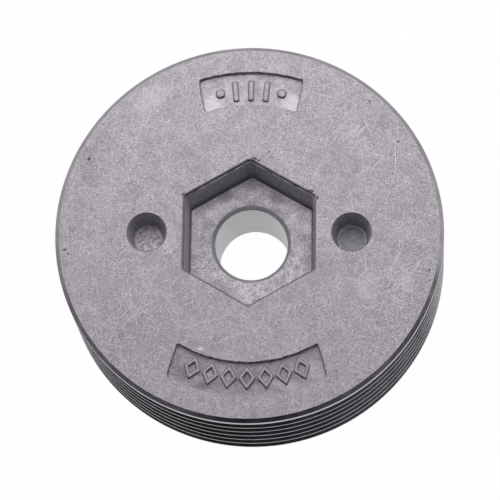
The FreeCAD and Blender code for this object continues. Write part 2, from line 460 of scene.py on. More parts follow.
# Painted shade in the fillet at the foot of the wall; the round at the mouth gets it too.
last_band = len(socket_steps) - 1
socket_bands.update({number: PAINTED_SHADE_EDGE for number in range(last_band - ROUND_STEPS, last_band)})
socket_mouth, socket_foot = sunk(hexagon, socket_steps, CAST_WALL, PAINTED_SHADE_EDGE, special=socket_bands)
flat([socket_foot, bore_rings[-1]], SOCKET_FLOOR)
print(f"socket {socket_flats} mm across flats, {socket_depth} mm deep")

# %% [markdown]
# The pin holes
#
# Two blind holes for a pin wrench stand left and right of the socket. They are cast as well, so they
# narrow to the floor, which meets the wall in a fillet. Like the socket's, their walls start a little
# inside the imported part's outline.

# %% Pin holes
HOLE_DRAFT = math.radians(7.5)
HOLE_MOUTH = 0.22
HOLE_TIGHTER = 0.15
HOLE_FILLET = 0.55
HOLE_STEPS = 96


def pin_hole(side):
    """The outline of one pin hole, for an inset."""
    middle = Vector((side * hole_offset, 0))
    turns = [2 * math.pi * step / HOLE_STEPS for step in range(HOLE_STEPS)]

    def disc(inset):
        reach = hole_radius - HOLE_TIGHTER - inset
        return [middle + Vector((math.cos(turn), math.sin(turn))) * reach for turn in turns]
    return disc


hole_mouths = []
hole_steps = wall_steps(hole_depth, HOLE_DRAFT, HOLE_MOUTH, HOLE_FILLET)
# Painted shade on the round at the mouth of each hole.
for side in (-1, 1):
    mouth, foot = sunk(pin_hole(side), hole_steps, CAST_WALL, PAINTED_SHADE_EDGE)
    flat([foot], HOLE_FLOOR)
    hole_mouths.append(mouth)
print(f"pin holes {2 * hole_offset} mm apart, radius {hole_radius} mm")

# %% [markdown]
# The mark recesses
#
# Castings carry their marks in shallow recesses, where nothing can rub them off. This pulley has a
# short one above the socket and a long one below. Their ends lean inwards, and each is the same four
# corners: two on the inner radius and two on the outer.

# %% Mark recesses
MARK_INNER = 26.0
MARK_OUTER = 32.8
MARK_DEPTH = 0.8
MARK_DRAFT = math.radians(8)
MARK_CORNER = 0.7
MARK_MOUTH = 0.12
MARK_FILLET = 0.2
MARK_WANDER = 0.12
SHORT_MARK = (9.1, 10.45)
LONG_MARK = (13.6, 15.6)
mark_floor = face_height - MARK_DEPTH


def mark_recess(side, half_widths):
    """The outline of a mark recess towards +Y or -Y, for an inset."""
    half_inner, half_outer = half_widths
    inner_end = Vector((half_inner, math.sqrt(MARK_INNER ** 2 - half_inner ** 2)))
    outer_end = Vector((half_outer, math.sqrt(MARK_OUTER ** 2 - half_outer ** 2)))
    across = (outer_end - inner_end).orthogonal().normalized()
    if across.x > 0:
        across.negate()

    def sector(inset):
        corners = []
        for end, radius in ((inner_end, MARK_INNER + inset), (outer_end, MARK_OUTER - inset)):
            moved = end + across * inset
            corners.append(moved.normalized() * radius)
        inner, outer = corners
        places = [(inner.x, inner.y), (outer.x, outer.y), (-outer.x, outer.y), (-inner.x, inner.y)]
        if side < 0:
            places = [(-x, -y) for x, y in places]
        return outline(places, MARK_CORNER, round_sides=(1, 3))
    return sector


mark_steps = wall_steps(MARK_DEPTH, MARK_DRAFT, MARK_MOUTH, MARK_FILLET)
recesses = {}
for name, side, half_widths in (("short", 1, SHORT_MARK), ("long", -1, LONG_MARK)):
    shape = mark_recess(side, half_widths)
    recesses[name] = sunk(shape, mark_steps, RECESS_WALL, RECESS_WALL, MARK_WANDER)
    print(f"{name} mark recess: {2 * half_widths[1]} mm at its outer edge")

# %% [markdown]
# The raised marks
#
# Marks in a casting stand up from the floor of their recess, because they are cut into the die. These
# are plain foundry signs: hollow lozenges in the long recess, bars and round pips in the short one.
# Each is a small boss with leaning walls, and a hollow one is two such walls with a flat between.

# %% A mark in its place
TO_PLUS_Y = math.radians(90)
TO_MINUS_Y = math.radians(-90)
MARK_RISE = 0.42
MARK_LEAN = math.radians(14)
MARK_TOP_ROUND = 0.2
MARK_FOOT_FILLET = 0.1
MARK_ROW_RADIUS = 29.1
MARK_SIDE_STEPS = 8

rise_steps = wall_steps(MARK_RISE, MARK_LEAN, MARK_TOP_ROUND, MARK_FOOT_FILLET)


def placed(shape, turn):
    """Move an outline from the middle to the row of marks, its top away from the axis."""
    spin = Matrix.Rotation(turn - TO_PLUS_Y, 2)
    shift = Vector((math.cos(turn), math.sin(turn))) * MARK_ROW_RADIUS
    return lambda inset: [spin @ point + shift for point in shape(inset)]


def lozenge(half_width, half_height, soft):
    """A lozenge's outline, for an inset of its sides."""
    slant = math.hypot(half_width, half_height)

    def shape(inset):
        wide = half_width - inset * slant / half_height
        tall = half_height - inset * slant / half_width
        return outline([(wide, 0), (0, tall), (-wide, 0), (0, -tall)], soft, side_steps=MARK_SIDE_STEPS)
    return shape


def bar(half_width, half_height, soft):
    """A bar's outline, or a pip's, for an inset of its sides."""
    def shape(inset):
        wide, tall = half_width - inset, half_height - inset
        corners = [(wide, -tall), (wide, tall), (-wide, tall), (-wide, -tall)]
        return outline(corners, soft, side_steps=MARK_SIDE_STEPS)
    return shape


# %% Hollow lozenges in the long recess
LOZENGE_COUNT = 7
LOZENGE_SPACING = math.radians(7.1)
LOZENGE_HALF = (1.6, 2.2)
LOZENGE_SOFT = 0.3
LOZENGE_STROKE = 0.5


def hollow(shape, stroke):
    """The inside of a stroke. Its walls lean the other way, so its insets count backwards."""
    return lambda inset: shape(stroke - inset)


# Painted shade in the fillet at the foot of each mark.
long_marks = []
for number in range(LOZENGE_COUNT):
    turn = TO_MINUS_Y + (number - (LOZENGE_COUNT - 1) / 2) * LOZENGE_SPACING
    outer = placed(lozenge(*LOZENGE_HALF, LOZENGE_SOFT), turn)
    inner = hollow(outer, LOZENGE_STROKE)
    outer_top, outer_foot = raised(outer, rise_steps, RECESS_WALL, PAINTED_SHADE_EDGE, mark_floor)
    inner_top, inner_foot = raised(inner, rise_steps, RECESS_WALL, PAINTED_SHADE_EDGE, mark_floor)
    flat([outer_top, inner_top], CAST_FACE)
    flat([inner_foot], RECESS_FLOOR_SKIN)
    long_marks.append(outer_foot)
flat([recesses["long"][1], *long_marks], RECESS_FLOOR_SKIN)
print(f"{len(long_marks)} lozenges")

# %% Bars and pips in the short recess
BAR_HALF = (0.45, 2.0)
PIP_HALF = (0.75, 0.75)
SHORT_ROW = (PIP_HALF, BAR_HALF, BAR_HALF, BAR_HALF, PIP_HALF)
SHORT_SPACING = math.radians(6.0)
BAR_SOFT = 0.9

# Painted shade in the fillet at the foot of each mark.
short_marks = []
for number, half in enumerate(SHORT_ROW):
    turn = TO_PLUS_Y - (number - (len(SHORT_ROW) - 1) / 2) * SHORT_SPACING
    shape = placed(bar(*half, BAR_SOFT * half[0]), turn)
    top, foot = raised(shape, rise_steps, RECESS_WALL, PAINTED_SHADE_EDGE, mark_floor)
    flat([top], CAST_FACE)
    short_marks.append(foot)
flat([recesses["short"][1], *short_marks], RECESS_FLOOR_SKIN)
print(f"{len(short_marks)} bars and pips")

# %% [markdown]
# Close the skin
#
# The face itself comes last: one flat between the rim and every mouth. A closed skin has two faces at
# each edge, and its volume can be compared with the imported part's.

# %% Close the face and make the object
CUBIC_CM = (10 * MM) ** 3

flat([face_rings[0], socket_mouth, *hole_mouths, recesses["short"][0], recesses["long"][0]], CAST_FACE)
open_edges = [edge for edge in skin.edges if len(edge.link_faces) != 2]
bmesh.ops.recalc_face_normals(skin, faces=skin.faces)
for face in skin.faces:
    face.smooth = True
volume = skin.calc_volume() / CUBIC_CM
print(f"skin: {len(skin.faces)} faces, {len(open_edges)} open edges, {volume:.1f} cm3")

mesh = bpy.data.meshes.new("pulley_casting")
skin.to_mesh(mesh)
skin.free()
casting = linked("pulley_casting", mesh)

# %% [markdown]
# Building a finish from nodes
#
# A finish is colour, roughness and relief. All three come from noise in millimetres on the object, so
# that a grain of half a millimetre is half a millimetre on any part. The helper class keeps the node
# wiring short: it adds a node, sets its values and links the sockets that are given to it.

# %% A recipe for a finish
FLATTENED = (1, 1, 0)
COARSE = 0.75
MIX_SHARE, MIX_FIRST, MIX_SECOND, MIX_RESULT = 0, 6, 7, 2


class Recipe:
    """The nodes of a new material, or of a new world, and short ways to add to them."""

    def __init__(self, name, shelf=None):
        shelf = bpy.data.materials if shelf is None else shelf
        self.made = shelf.new(name)
        self.made.use_nodes = True
        self.tree = self.made.node_tree
        self.tree.nodes.clear()

    @cached_property
    def place(self):
        """The place on the object, in millimetres."""
        return self.scaled(self.add("ShaderNodeTexCoord").outputs["Object"], (1 / MM,) * 3)

    def add(self, kind, inputs=(), **settings):
        """A new node. An input is named or numbered, and gets a link or a plain value."""
        node = self.tree.nodes.new(kind)
        for name, value in settings.items():
            setattr(node, name, value)
        for name, value in dict(inputs).items():
            if isinstance(value, bpy.types.NodeSocket):
                self.tree.links.new(value, node.inputs[name])
            else:
                node.inputs[name].default_value = value
        return node

    def scaled(self, place, scale=(1, 1, 1), turn=0.0, shift=(0, 0, 0)):
        """A place, scaled, then turned about Z, then shifted."""
        settings = {"Vector": place, "Scale": scale, "Rotation": (0, 0, turn), "Location": shift}
        return self.add("ShaderNodeMapping", settings).outputs["Vector"]

    def coordinate(self, axis):
        """The place along one axis, in millimetres."""
        return self.add("ShaderNodeSeparateXYZ", {"Vector": self.place}).outputs[axis]

    def facing(self, axis):
        """How far the surface faces along one axis, from -1 to 1."""
        normal = self.add("ShaderNodeNewGeometry").outputs["Normal"]
        return self.add("ShaderNodeSeparateXYZ", {"Vector": normal}).outputs[axis]

    def grain(self, size, detail=3.0, roughness=0.5, place=None):
        """Soft noise from 0 to 1 whose blobs are about size millimetres."""
        settings = {"Scale": 1 / size, "Detail": detail, "Roughness": roughness}
        return self.add("ShaderNodeTexNoise", {"Vector": place or self.place, **settings}).outputs["Fac"]

    def between(self, value, low, high, to_low=0.0, to_high=1.0):
        """Smoothly from one level to another as the value goes from low to high."""
        settings = {"Value": value, "From Min": low, "From Max": high, "To Min": to_low, "To Max": to_high}
        return self.add("ShaderNodeMapRange", settings, interpolation_type="SMOOTHSTEP").outputs["Result"]

    def number(self, kind, first, second):
        """One step of arithmetic with two numbers."""
        return self.add("ShaderNodeMath", {0: first, 1: second}, operation=kind).outputs["Value"]

    def times(self, first, second):
        return self.number("MULTIPLY", first, second)

    def shared(self, share, first, second):
        """That share of the first number and the rest of the second."""
        return self.number("ADD", self.times(first, share), self.times(second, 1 - share))

    def vector(self, kind, inputs):
        """One step of arithmetic with vectors."""
        return self.add("ShaderNodeVectorMath", inputs, operation=kind).outputs["Vector"]

    def length(self, vector):
        return self.add("ShaderNodeVectorMath", {0: vector}, operation="LENGTH").outputs["Value"]

    def blend(self, share, first, second):
        """Mix two colours. The sockets are numbered, because others share their names."""
        inputs = {MIX_SHARE: share, MIX_FIRST: first, MIX_SECOND: second}
        return self.add("ShaderNodeMix", inputs, data_type="RGBA").outputs[MIX_RESULT]

    def relief(self, height, depth, below=None):
        """A bump of that many millimetres, on top of another one."""
        inputs = {"Height": height, "Distance": depth * MM, "Strength": 1.0}
        if below is not None:
            inputs["Normal"] = below
        return self.add("ShaderNodeBump", inputs).outputs["Normal"]

    def finish(self, colour, metallic, roughness, normal=None):
        """The surface itself, and with it the whole material."""
        inputs = {"Base Color": colour, "Metallic": metallic, "Roughness": roughness}
        if normal is not None:
            inputs["Normal"] = normal
        shader = self.add("ShaderNodeBsdfPrincipled", inputs).outputs["BSDF"]
        self.add("ShaderNodeOutputMaterial", {"Surface": shader})
        return self.made


# %% [markdown]
# The cast face
#
# Die cast aluminium that has tumbled among other castings: a matt, slightly pink grey with a fine
# mottle, bright flecks, soft clouds, hair-thin scratches in every direction and a few small pits. The
# mottle is two sizes of noise, the coarser one drawn out a little in one direction. A scratch is noise
# stretched very long. What has a known place is a stretched spot: a pit, a single scratch, a rubbed
# or a stained patch.

# %% Spots and hairs
HAIR_WIDTH = 0.26
HAIR_LENGTH = 6.0
HAIR_LEVEL = 0.635
HAIR_SOFTNESS = 0.06
HAIR_SHIFT = 20


def spot(recipe, x, y, length, width, turn=0.0):
    """1 in the middle of a small ellipse seen along Z, 0 outside it. Sizes are in millimetres."""
    from_middle = recipe.scaled(recipe.place, FLATTENED, shift=(-x, -y, 0))
    turned_back = recipe.scaled(from_middle, turn=-turn)
    shrunk = recipe.scaled(turned_back, (2 / length, 2 / width, 1))
    return recipe.between(recipe.length(shrunk), low=1.0, high=0.3)


def any_of(recipe, places):
    """The strongest of many spots."""
    strongest = 0.0
    for place in places:
        strongest = recipe.number("MAXIMUM", strongest, spot(recipe, *place))
    return strongest


def touched(recipe, colour, places, share, touch):
    """The colour with a share of another one on each of the places."""
    return recipe.blend(recipe.times(any_of(recipe, places), share), colour, touch)


def hairs(recipe, place, turn):
    """Hair-thin scratches along one direction, broken into lengths."""
    turned_place = recipe.scaled(place, turn=turn, shift=(HAIR_SHIFT * turn, 0, 0))
    stretched = recipe.scaled(turned_place, (1 / HAIR_LENGTH, 1 / HAIR_WIDTH, 1))
    line = recipe.grain(size=1.0, detail=1.0, place=stretched)
    return recipe.between(line, HAIR_LEVEL, HAIR_LEVEL + HAIR_SOFTNESS)


def warped(recipe, size, reach):
    """The place, pushed about by soft noise, so that straight lines come out curved."""
    push = recipe.add("ShaderNodeTexNoise", {"Vector": recipe.place, "Scale": 1 / size, "Detail": 1.0})
    centred = recipe.vector("SUBTRACT", {0: push.outputs["Color"], 1: (0.5,) * 3})
    scaled = recipe.vector("SCALE", {0: centred, "Scale": reach})
    return recipe.vector("ADD", {0: recipe.place, 1: scaled})


# %% Marks of wear on the face, each with x, y, length, width and turn
PITS = (
    (-31.7, 14.9, 1.0, 0.5, 0.9),
    (23.4, 26.6, 0.7, 0.3, 1.2),
    (29.1, 18.3, 0.6, 0.5, 0.0),
    (3.7, 16.3, 0.5, 0.4, 0.4),
    (35.2, -7.7, 0.8, 0.35, 1.3),
    (-36.0, -3.6, 1.0, 0.45, 0.4),
    (-35.3, -4.4, 0.5, 0.35, 1.2),
    (0.9, 14.95, 1.7, 0.5, -0.3),
    (1.7, 14.5, 0.8, 0.4, 0.6),
    (12.1, 8.35, 1.6, 0.5, -0.2),
    (13.35, 6.9, 0.5, 1.0, 0.0),
    (-13.0, 7.7, 1.2, 0.45, 0.5),
)
RUBBED = (
    (-19.5, 27.7, 14.0, 6.5, 0.6),
    (-15.8, -1.0, 5.0, 9.0, 0.0),
    (23.5, -11.5, 6.0, 8.0, 0.3),
    (31.0, -9.5, 4.0, 7.0, 0.2),
)
STAINED = (
    (-23.5, -18.5, 11.0, 20.0, 0.3),
    (18.0, 13.5, 14.0, 8.0, 0.0),
    (24.5, 22.0, 9.0, 8.0, 0.8),
    (-30.5, 14.0, 8.0, 14.0, -0.4),
    (33.5, 8.0, 5.0, 13.0, 0.1),
)
SCUFFS = (
    (-23.0, -16.0, 16.0, 11.0, 0.8),
    (-25.0, 17.5, 12.0, 9.0, 0.3),
    (29.0, -12.0, 16.0, 9.0, 1.3),
    (22.0, 20.0, 12.0, 9.0, 2.2),
)
SCRATCHES = (
    (-23.0, -21.2, 4.6, 0.22, 0.0),
    (-23.6, -16.0, 4.2, 0.22, 0.8),
    (-21.9, -22.7, 3.0, 0.20, 1.25),
    (-22.8, -14.6, 2.6, 0.20, 1.5),
    (32.9, -6.5, 4.4, 0.26, 1.05),
    (28.9, -5.1, 7.0, 0.24, 1.09),
    (27.5, -10.0, 3.2, 0.22, 1.18),
    (33.2, -15.9, 3.0, 0.24, 1.05),
    (30.2, 3.2, 2.6, 0.20, 1.45),
    (-27.4, 25.0, 2.4, 0.20, 0.9),
    (28.5, 15.5, 9.0, 0.22, 1.57),
    (-9.0, -23.4, 1.6, 0.8, 0.1),
)

# %% Cast face
CAST_DARK = (0.180, 0.160, 0.182, 1)
CAST_PALE = (0.458, 0.415, 0.461, 1)
CAST_BRIGHT = (0.70, 0.66, 0.70, 1)
CAST_CLOUD = (0.335, 0.297, 0.331, 1)
CAST_STAIN = (0.230, 0.210, 0.233, 1)
PIT_BLACK = (0.03, 0.03, 0.032, 1)
CAST_METALLIC = 0.6
SOFT_METALLIC = 0.3
DULL_ROUGHNESS = 0.5

MOTTLE_SHARE = 0.4
BRUSH_TURN = 1.25
BRUSH_STRETCH = 2.0
CLOUD_SHARE = 0.4
STAIN_SHARE = 0.4
STAIN_SHIFT = (31, 12, 0)
SCRATCH_TURNS = (0.2, 0.6, 1.1, 1.5, 1.9, 2.3, 2.8)
RUBBED_SHARE = 0.18
STAINED_SHARE = 0.24
HAIR_SHARE = 0.19
SCUFF_SHARE = 0.12
SCRATCH_SHARE = 0.6
PIT_SHARE = 0.85


def cast_face():
    recipe = Recipe("cast_face")
    clouds = recipe.grain(size=5.0)
    stain_place = recipe.scaled(recipe.place, shift=STAIN_SHIFT)
    stains = recipe.grain(size=4.0, detail=5.0, roughness=0.65, place=stain_place)
    brush_place = recipe.scaled(recipe.place, turn=-BRUSH_TURN)
    brushed = recipe.scaled(brush_place, (1 / BRUSH_STRETCH, 1, 1))
    mottle = recipe.grain(size=0.5, detail=4.0, roughness=COARSE, place=brushed)
    speckle = recipe.grain(size=0.24, detail=2.0, roughness=0.7)
    level = recipe.shared(MOTTLE_SHARE, mottle, speckle)
    colour = recipe.blend(recipe.between(level, low=0.36, high=0.64), CAST_DARK, CAST_PALE)
    cloudy = recipe.between(clouds, low=0.35, high=0.65, to_high=CLOUD_SHARE)
    colour = recipe.blend(cloudy, colour, CAST_CLOUD)
    dull = recipe.between(stains, low=0.38, high=0.54, to_low=STAIN_SHARE, to_high=0.0)
    colour = recipe.blend(dull, colour, CAST_STAIN)
    colour = touched(recipe, colour, RUBBED, RUBBED_SHARE, CAST_BRIGHT)
    colour = touched(recipe, colour, STAINED, STAINED_SHARE, CAST_DARK)

    flecks = recipe.between(recipe.grain(size=0.32, detail=1.0), low=0.64, high=0.74)
    patches = recipe.grain(size=5.0, detail=2.0)
    fleck_share = recipe.between(patches, low=0.42, high=0.60, to_low=0.05, to_high=0.75)
    colour = recipe.blend(recipe.times(flecks, fleck_share), colour, CAST_BRIGHT)

    bent = warped(recipe, size=6.0, reach=0.5)
    fine = 0.0
    for turn in SCRATCH_TURNS:
        fine = recipe.number("MAXIMUM", fine, hairs(recipe, bent, turn))
    scuffed = recipe.number("ADD", recipe.times(any_of(recipe, SCUFFS), SCUFF_SHARE), HAIR_SHARE)
    known = recipe.times(any_of(recipe, SCRATCHES), SCRATCH_SHARE)
    scratched = recipe.number("MAXIMUM", recipe.times(fine, scuffed), known)
    colour = recipe.blend(scratched, colour, CAST_BRIGHT)

    pits = any_of(recipe, PITS)
    colour = recipe.blend(recipe.times(pits, PIT_SHARE), colour, PIT_BLACK)
    ripple = recipe.relief(recipe.grain(size=3.0, detail=2.0), depth=0.06)
    skin_grain = recipe.relief(level, depth=0.12, below=ripple)
    dents = recipe.relief(recipe.times(pits, -1.0), depth=0.15, below=skin_grain)
    rough = recipe.between(mottle, low=0.3, high=0.7, to_low=0.48, to_high=0.60)
    return recipe.finish(colour, CAST_METALLIC, rough, dents)


# %% [markdown]
# The turned metal
#
# A lathe leaves rings: very fine grooves that all run round the axis. On the rim they run round the
# ribs, in the bore round the wall. The colour hardly changes, and the rings are noise that is read
# only by radius and height, so that it can't change round the turn. A few dark streaks follow them.

# %% Turned rim and bore
TURNED_GREY = (0.308, 0.302, 0.320, 1)
TURNED_DULL = (0.248, 0.241, 0.259, 1)
BORE_GREY = (0.38, 0.385, 0.395, 1)
BORE_DULL = (0.31, 0.315, 0.325, 1)
STREAK_GREY = (0.15, 0.15, 0.155, 1)
EDGE_TURNED = (0.39, 0.376, 0.40, 1)
EDGE_TURNED_DULL = (0.315, 0.305, 0.325, 1)
TARNISH_ROUGHER = 0.08
STREAK_SCALE = (1.4, 1.4, 1.4)
STREAK_SHIFT = (3, 7, 0)


def turned_metal(name, ring_width, roughness, dull=TURNED_DULL, pale=TURNED_GREY, metallic=1.0):
    """Metal from the lathe. The rings are ring_width millimetres wide."""
    recipe = Recipe(name)
    radius = recipe.length(recipe.scaled(recipe.place, FLATTENED))
    lathe_inputs = {"X": radius, "Y": recipe.coordinate("Z")}
    lathe_place = recipe.add("ShaderNodeCombineXYZ", lathe_inputs).outputs["Vector"]
    rings = recipe.grain(ring_width, place=lathe_place)
    tarnish = recipe.grain(size=4.0, detail=4.0)
    colour = recipe.blend(recipe.between(tarnish, low=0.35, high=0.65), dull, pale)
    streak_place = recipe.scaled(lathe_place, STREAK_SCALE, shift=STREAK_SHIFT)
    streak_rings = recipe.grain(ring_width, detail=2.0, place=streak_place)
    streaks = recipe.between(streak_rings, low=0.53, high=0.62)
    patches = recipe.grain(size=5.0, detail=2.0)
    streak_share = recipe.between(patches, low=0.42, high=0.58, to_low=0.05, to_high=0.6)
    colour = recipe.blend(recipe.times(streaks, streak_share), colour, STREAK_GREY)
    roughest = roughness + TARNISH_ROUGHER
    rough = recipe.between(tarnish, low=0.3, high=0.7, to_low=roughness, to_high=roughest)
    return recipe.finish(colour, metallic, rough, recipe.relief(rings, depth=0.012))


# %% [markdown]
# Walls and floors of the openings
#
# No tool and no hand reaches the walls, so they keep the dark, dull skin of the die. Painted shade
# makes the ones that face -Y the darkest and the side ones paler, and darkens their foot. The floors
# have the same skin with bright patches where the die let go of it unevenly. The far corners of the
# socket floor are painted paler: painted light against the shade of the far walls.

# %% Cast walls
# Painted shade: darker greys for the walls that face -Y, paler ones for the side walls, and a dark shade
# at the foot.
PAINTED_SHADE_WALL_GREY = (0.39, 0.376, 0.404, 1)
SIDE_WALL_GREY = (0.47, 0.453, 0.484, 1)
SIDE_WALL_DARK = (0.34, 0.327, 0.350, 1)
PAINTED_SHADE_WALL_DARK = (0.17, 0.163, 0.18, 1)
PAINTED_FOOT_SHADE = (0.11, 0.105, 0.118, 1)
WALL_METALLIC = 0.4
FOOT_SHADE_HEIGHT = 3.0
FOOT_SHADE_SHARE = 0.8


def cast_wall():
    recipe = Recipe("cast_wall")
    patches = recipe.grain(size=0.4, roughness=0.7)
    # Painted shade: the walls that face -Y get the darker greys.
    side_less_shade = recipe.between(recipe.facing("Y"), low=-0.8, high=-0.2)
    pale = recipe.blend(side_less_shade, PAINTED_SHADE_WALL_GREY, SIDE_WALL_GREY)
    dark = recipe.blend(side_less_shade, PAINTED_SHADE_WALL_DARK, SIDE_WALL_DARK)
    colour = recipe.blend(recipe.between(patches, low=0.38, high=0.62), dark, pale)
    # Painted shade at the foot of the socket walls, darkest at the floor.
    foot_shade_top = socket_floor + FOOT_SHADE_HEIGHT
    painted_shade_mask = recipe.between(recipe.coordinate("Z"), socket_floor, foot_shade_top, to_low=FOOT_SHADE_SHARE, to_high=0.0)
    colour = recipe.blend(painted_shade_mask, colour, PAINTED_FOOT_SHADE)
    return recipe.finish(colour, WALL_METALLIC, DULL_ROUGHNESS, recipe.relief(patches, depth=0.05))


# %% Socket floor
FLOOR_PALE = (0.60, 0.556, 0.612, 1)
FLOOR_DARK = (0.22, 0.200, 0.232, 1)
# Paler copies for the far corners: painted light against the shade that the far walls cast.
FAR_PAINTED_LIGHT_PALE = (0.95, 0.905, 0.955, 1)
FAR_PAINTED_LIGHT_DARK = (0.48, 0.440, 0.492, 1)
FLOOR_STAINS = (
    (-5.5, -9.3, 11.0, 4.5, -0.5),
    (-8.6, 4.2, 3.6, 4.0, 0.0),
    (-5.2, 9.6, 4.6, 3.0, 0.5),
    (4.8, 9.2, 4.6, 3.0, -0.5),
)
FLOOR_STAIN_SHARE = 0.5
FLOOR_BLOTCH_SHARE = 0.4


def socket_floor_skin():
    """Blotchy and stained, and painted paler in the corners towards +Y, where the walls shade it: painted
    light.
    """
    recipe = Recipe("socket_floor")
    blotches = recipe.grain(size=1.8, detail=5.0, roughness=COARSE)
    speckle = recipe.grain(size=0.26, roughness=COARSE)
    level = recipe.shared(FLOOR_BLOTCH_SHARE, blotches, speckle)
    paleness = recipe.between(level, low=0.39, high=0.61)
    near_colour = recipe.blend(paleness, FLOOR_DARK, FLOOR_PALE)
    painted_light_colour = recipe.blend(paleness, FAR_PAINTED_LIGHT_DARK, FAR_PAINTED_LIGHT_PALE)
    # Painted light in the corners towards +Y, near the walls.
    far_half = recipe.between(recipe.coordinate("Y"), low=0.5, high=6.0)
    outer_ring = recipe.between(recipe.length(recipe.scaled(recipe.place, FLATTENED)), low=7.4, high=11.0)
    colour = recipe.blend(recipe.times(far_half, outer_ring), near_colour, painted_light_colour)
    colour = touched(recipe, colour, FLOOR_STAINS, FLOOR_STAIN_SHARE, FLOOR_DARK)
    return recipe.finish(colour, CAST_METALLIC, DULL_ROUGHNESS, recipe.relief(level, depth=0.14))


# %% Recess floors
BLUE_GREY = (0.330, 0.304, 0.347, 1)
WARM_GREY = (0.480, 0.430, 0.468, 1)
RECESS_SHADOW = (0.07, 0.066, 0.072, 1)
RECESS_STAINS = (
    (-12.5, -27.6, 6.0, 4.5, 0.3),
    (0.5, -29.2, 6.0, 5.0, 0.0),
    (-8.0, -30.5, 8.0, 3.0, 0.2),
)
RECESS_RUBBED = ((13.5, -27.6, 6.0, 5.0, -0.4), (7.0, -30.3, 8.0, 3.0, -0.2))
RECESS_SHINES = ((-8.2, 26.4, 6.0, 5.0, 0.5), (8.2, 26.4, 6.0, 5.0, -0.5))
RECESS_STAIN_SHARE = 0.3
RECESS_RUBBED_SHARE = 0.24
RECESS_SHINE_SHARE = 0.5
RECESS_GRAIN_SHARE = 0.6
RECESS_SHADOW_SHARE = 0.42
RECESS_ROUGHNESS = 0.48
SIDES_MEET = (-5.0, 5.0)


def recess_floor_skin():
    """The long recess lies towards -Y and is darker, the short one towards +Y is paler."""
    recipe = Recipe("recess_floor")
    side = recipe.between(recipe.coordinate("Y"), *SIDES_MEET)
    grain = recipe.grain(size=0.5, detail=4.0, roughness=COARSE)
    shade = recipe.shared(RECESS_GRAIN_SHARE, grain, recipe.grain(size=2.6))
    shadow = recipe.between(shade, low=0.40, high=0.60, to_low=RECESS_SHADOW_SHARE, to_high=0.0)
    colour = recipe.blend(side, BLUE_GREY, WARM_GREY)
    colour = recipe.blend(shadow, colour, RECESS_SHADOW)
    colour = touched(recipe, colour, RECESS_STAINS, RECESS_STAIN_SHARE, RECESS_SHADOW)
    colour = touched(recipe, colour, RECESS_RUBBED, RECESS_RUBBED_SHARE, CAST_BRIGHT)
    colour = touched(recipe, colour, RECESS_SHINES, RECESS_SHINE_SHARE, CAST_BRIGHT)
    return recipe.finish(colour, CAST_METALLIC, RECESS_ROUGHNESS, recipe.relief(grain, depth=0.16))


# %% Floors of the pin holes
HOLE_GREY = (0.270, 0.254, 0.289, 1)
HOLE_DARK = (0.182, 0.171, 0.197, 1)
LEFT_HOLE_PALE = (0.55, 0.498, 0.555, 1)
LEFT_HOLE_DARK = (0.205, 0.182, 0.208, 1)


def hole_floor_skin():
    """The left floor is pale and blotchy, the right one is darker and smoother."""
    recipe = Recipe("hole_floor")
    side = recipe.between(recipe.coordinate("X"), *SIDES_MEET)
    blotches = recipe.grain(size=0.6, detail=4.0, roughness=COARSE)
    left = recipe.blend(recipe.between(blotches, low=0.36, high=0.64), LEFT_HOLE_DARK, LEFT_HOLE_PALE)
    right = recipe.blend(recipe.between(blotches, low=0.35, high=0.65), HOLE_DARK, HOLE_GREY)
    colour = recipe.blend(side, left, right)
    return recipe.finish(colour, CAST_METALLIC, DULL_ROUGHNESS, recipe.relief(blotches, depth=0.08))


# %% Recess walls
# Painted light: the walls that face +Y get this paler grey, the others a painted shade.
PAINTED_LIGHT_WALL_GREY = (0.30, 0.272, 0.305, 1)
RECESS_LESS_SHADE_SHARE = 0.6
DIRTY_ROUGHNESS = 0.6


def recess_wall_skin():
    """Painted shade on the walls that face -Y, painted light on the ones that face +Y, as pale as the
    face.
    """
    recipe = Recipe("recess_wall")
    painted_shade_mask = recipe.grain(size=0.7)
    less_shade = recipe.between(painted_shade_mask, low=0.35, high=0.65, to_high=RECESS_LESS_SHADE_SHARE)
    shaded_wall_colour = recipe.blend(less_shade, RECESS_SHADOW, BLUE_GREY)
    painted_light_side = recipe.between(recipe.facing("Y"), low=-0.55, high=0.0)
    colour = recipe.blend(painted_light_side, shaded_wall_colour, PAINTED_LIGHT_WALL_GREY)
    return recipe.finish(colour, SOFT_METALLIC, DIRTY_ROUGHNESS)


# %% Painted shade in the edges of the socket and of the pin holes, and a painted highlight on the ledge
# Colours of the painted shade in edges and at the feet of walls.
EDGE_PAINTED_SHADE = (0.052, 0.049, 0.055, 1)
EDGE_PAINTED_SHADE_WORN = (0.13, 0.12, 0.135, 1)
EDGE_SIDE_PAINTED_SHADE = (0.21, 0.197, 0.217, 1)
# Colour of the painted highlight on the ledge.
PAINTED_HIGHLIGHT_GREY = (0.66, 0.63, 0.67, 1)


def dark_edge():
    """Painted shade in the edges and creases. It is blackest where they face -Y and thinnest at the sides.
    """
    recipe = Recipe("dark_edge")
    wear = recipe.grain(size=0.8, detail=4.0, roughness=0.7)
    colour = recipe.blend(recipe.between(wear, low=0.40, high=0.65), EDGE_PAINTED_SHADE, EDGE_PAINTED_SHADE_WORN)
    facing = recipe.facing("Y")
    side_less_shade = recipe.between(facing, low=-0.7, high=-0.2)
    near = recipe.between(facing, low=0.1, high=0.6, to_low=0.8, to_high=0.3)
    colour = recipe.blend(recipe.times(side_less_shade, near), colour, EDGE_SIDE_PAINTED_SHADE)
    return recipe.finish(colour, SOFT_METALLIC, DIRTY_ROUGHNESS)


